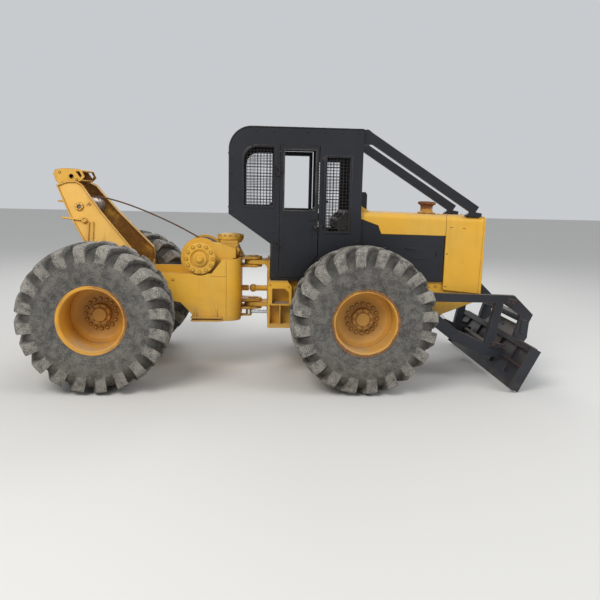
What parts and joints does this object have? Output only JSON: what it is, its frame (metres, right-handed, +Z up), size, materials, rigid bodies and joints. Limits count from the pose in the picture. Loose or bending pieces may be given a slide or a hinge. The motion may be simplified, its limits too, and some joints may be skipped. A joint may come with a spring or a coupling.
{
  "type": "cable skidder",
  "caption": "Articulated four-wheel logging tractor with a front blade, a guarded cab, and a winch with an arch and a butt plate behind.",
  "frame": {"origin": "on the ground, at the middle of the bounding box's underside", "axes": "+X points forward to the blade, +Y to the machine's left and +Z up from the ground"},
  "size_m": [5.73, 2.58, 2.802],
  "materials": {
    "yellow_paint": "faded yellow paint, scuffed to rust at edges",
    "orange_paint": "faded orange-yellow paint with rusty flanges",
    "black_paint": "faded blue-black paint",
    "black_steel": "black painted bars",
    "tyre_rubber": "weathered rubber with dusty lugs",
    "rod_chrome": "polished rod",
    "engine_iron": "oily grey casting",
    "worn_steel": "worn and rusty steel",
    "rusty_steel": "rusty pipe with traces of yellow",
    "seat_vinyl": "black vinyl over foam",
    "dark_plastic": "dark moulding"
  },
  "bodies": {
    "front_frame": {"front_frame": "yellow_paint", "front_wall": "yellow_paint", "front_floor": "yellow_paint", "frame_pins": "yellow_paint", "tow_lug": "yellow_paint", "front_axle": "yellow_paint", "engine_block": "engine_iron", "step_blocks": "yellow_paint", "hood": "yellow_paint", "nose": "yellow_paint", "grille": "black_steel", "side_panels": "black_paint", "hood_box": "black_paint", "exhaust": "rusty_steel", "cab_floor": "black_paint", "cab_side_left": "black_paint", "cab_side_right": "black_paint", "cab_roof": "black_paint", "cab_rear": "black_paint", "cab_front": "black_paint", "guard_meshes": "black_steel", "seat": "seat_vinyl", "dash": "dark_plastic", "steering_wheel": "dark_plastic", "sweeps": "black_paint"},
    "rear_frame": {"rear_frame": "yellow_paint", "rear_floor": "yellow_paint", "rear_pivot": "yellow_paint", "hitch": "yellow_paint", "rear_axle": "yellow_paint", "winch_case": "yellow_paint", "winch_cable": "worn_steel", "arch": "yellow_paint", "fairlead": "yellow_paint", "butt_plate": "yellow_paint"},
    "blade": {"blade_frame": "black_paint", "blade": "black_paint"},
    "wheel_front_left": {"tyre_front_left": "tyre_rubber", "rim_front_left": "orange_paint"},
    "wheel_front_right": {"tyre_front_right": "tyre_rubber", "rim_front_right": "orange_paint"},
    "wheel_rear_left": {"tyre_rear_left": "tyre_rubber", "rim_rear_left": "orange_paint"},
    "wheel_rear_right": {"tyre_rear_right": "tyre_rubber", "rim_rear_right": "orange_paint"},
    "door_left": {"door_left": "black_paint"},
    "door_right": {"door_right": "black_paint"},
    "winch_drum": {"winch_drum": "worn_steel"},
    "roller_cross": {"roller_cross": "worn_steel"},
    "roller_left": {"roller_left": "worn_steel"},
    "roller_right": {"roller_right": "worn_steel"},
    "lift_barrel_left": {"lift_barrel_left": "black_paint"},
    "lift_rod_left": {"lift_rod_left": "rod_chrome"},
    "steer_barrel_left": {"steer_barrel_left": "black_paint"},
    "steer_rod_left": {"steer_rod_left": "rod_chrome"},
    "lift_barrel_right": {"lift_barrel_right": "black_paint"},
    "lift_rod_right": {"lift_rod_right": "rod_chrome"},
    "steer_barrel_right": {"steer_barrel_right": "black_paint"},
    "steer_rod_right": {"steer_rod_right": "rod_chrome"}
  },
  "joints": [
    {"name": "steer", "type": "hinge", "parent": "front_frame", "child": "rear_frame", "pos_m": [-0.355, 0, 1], "axis": [0, 0, 1], "range_deg": [-45, 45]},
    {"name": "wheel_front_left_turn", "type": "hinge", "parent": "front_frame", "child": "wheel_front_left", "pos_m": [0.825, 0.995, 0.77969], "axis": [0, 1, 0], "continuous": true},
    {"name": "wheel_front_right_turn", "type": "hinge", "parent": "front_frame", "child": "wheel_front_right", "pos_m": [0.825, -0.995, 0.77969], "axis": [0, 1, 0], "continuous": true},
    {"name": "wheel_rear_left_turn", "type": "hinge", "parent": "rear_frame", "child": "wheel_rear_left", "pos_m": [-1.955, 0.995, 0.77969], "axis": [0, 1, 0], "continuous": true},
    {"name": "wheel_rear_right_turn", "type": "hinge", "parent": "rear_frame", "child": "wheel_rear_right", "pos_m": [-1.955, -0.995, 0.77969], "axis": [0, 1, 0], "continuous": true},
    {"name": "blade_lift", "type": "hinge", "parent": "front_frame", "child": "blade", "pos_m": [1.555, 0, 0.95], "axis": [0, -1, 0], "range_deg": [0, 28]},
    {"name": "lift_barrel_left_swing", "type": "hinge", "parent": "front_frame", "child": "lift_barrel_left", "pos_m": [1.07, 0.497, 0.7], "axis": [0, -1, 0], "range_deg": [0, 10.4]},
    {"name": "lift_rod_left_slide", "type": "slide", "parent": "lift_barrel_left", "child": "lift_rod_left", "axis": [1, 0, 0.0066], "range_m": [0, 0.1046]},
    {"name": "lift_barrel_right_swing", "type": "hinge", "parent": "front_frame", "child": "lift_barrel_right", "pos_m": [1.07, -0.497, 0.7], "axis": [0, -1, 0], "range_deg": [0, 10.4]},
    {"name": "lift_rod_right_slide", "type": "slide", "parent": "lift_barrel_right", "child": "lift_rod_right", "axis": [1, 0, 0.0066], "range_m": [0, 0.1046]},
    {"name": "steer_barrel_left_swing", "type": "hinge", "parent": "front_frame", "child": "steer_barrel_left", "pos_m": [0.495, 0.27, 0.706], "axis": [0, 0, 1], "range_deg": [-1.23, 1.23]},
    {"name": "steer_rod_left_slide", "type": "slide", "parent": "steer_barrel_left", "child": "steer_rod_left", "axis": [-0.9992, -0.0391, 0], "range_m": [-0.1758, 0.1758]},
    {"name": "steer_barrel_right_swing", "type": "hinge", "parent": "front_frame", "child": "steer_barrel_right", "pos_m": [0.495, -0.27, 0.706], "axis": [0, 0, 1], "range_deg": [-1.23, 1.23]},
    {"name": "steer_rod_right_slide", "type": "slide", "parent": "steer_barrel_right", "child": "steer_rod_right", "axis": [-0.9992, 0.0391, 0], "range_m": [-0.1758, 0.1758]},
    {"name": "door_left_hinge", "type": "hinge", "parent": "front_frame", "child": "door_left", "pos_m": [-0.075, 0.517, 1.9], "axis": [0, 0, 1], "range_deg": [0, 90]},
    {"name": "door_right_hinge", "type": "hinge", "parent": "front_frame", "child": "door_right", "pos_m": [-0.075, -0.517, 1.9], "axis": [0, 0, -1], "range_deg": [0, 90]},
    {"name": "drum_turn", "type": "hinge", "parent": "rear_frame", "child": "winch_drum", "pos_m": [-0.955, 0, 1.337], "axis": [0, 1, 0], "continuous": true},
    {"name": "roller_cross_turn", "type": "hinge", "parent": "rear_frame", "child": "roller_cross", "pos_m": [-2.275, 0, 1.89], "axis": [0, 1, 0], "continuous": true},
    {"name": "roller_left_turn", "type": "hinge", "parent": "rear_frame", "child": "roller_left", "pos_m": [-2.455, 0.12, 2.025], "axis": [0, 0, 1], "continuous": true},
    {"name": "roller_right_turn", "type": "hinge", "parent": "rear_frame", "child": "roller_right", "pos_m": [-2.455, -0.12, 2.025], "axis": [0, 0, 1], "continuous": true}
  ],
  "couplings": [
    {"joint": "lift_barrel_left_swing", "follows": "blade_lift", "ratio": 0.36969},
    {"joint": "lift_rod_left_slide", "follows": "blade_lift", "m_per_rad": 0.21298},
    {"joint": "lift_barrel_right_swing", "follows": "blade_lift", "ratio": 0.36969},
    {"joint": "lift_rod_right_slide", "follows": "blade_lift", "m_per_rad": 0.21298},
    {"joint": "steer_barrel_left_swing", "follows": "steer", "ratio": 0.02623},
    {"joint": "steer_rod_left_slide", "follows": "steer", "m_per_rad": 0.22324},
    {"joint": "steer_barrel_right_swing", "follows": "steer", "ratio": 0.02623},
    {"joint": "steer_rod_right_slide", "follows": "steer", "m_per_rad": -0.22324}
  ]
}
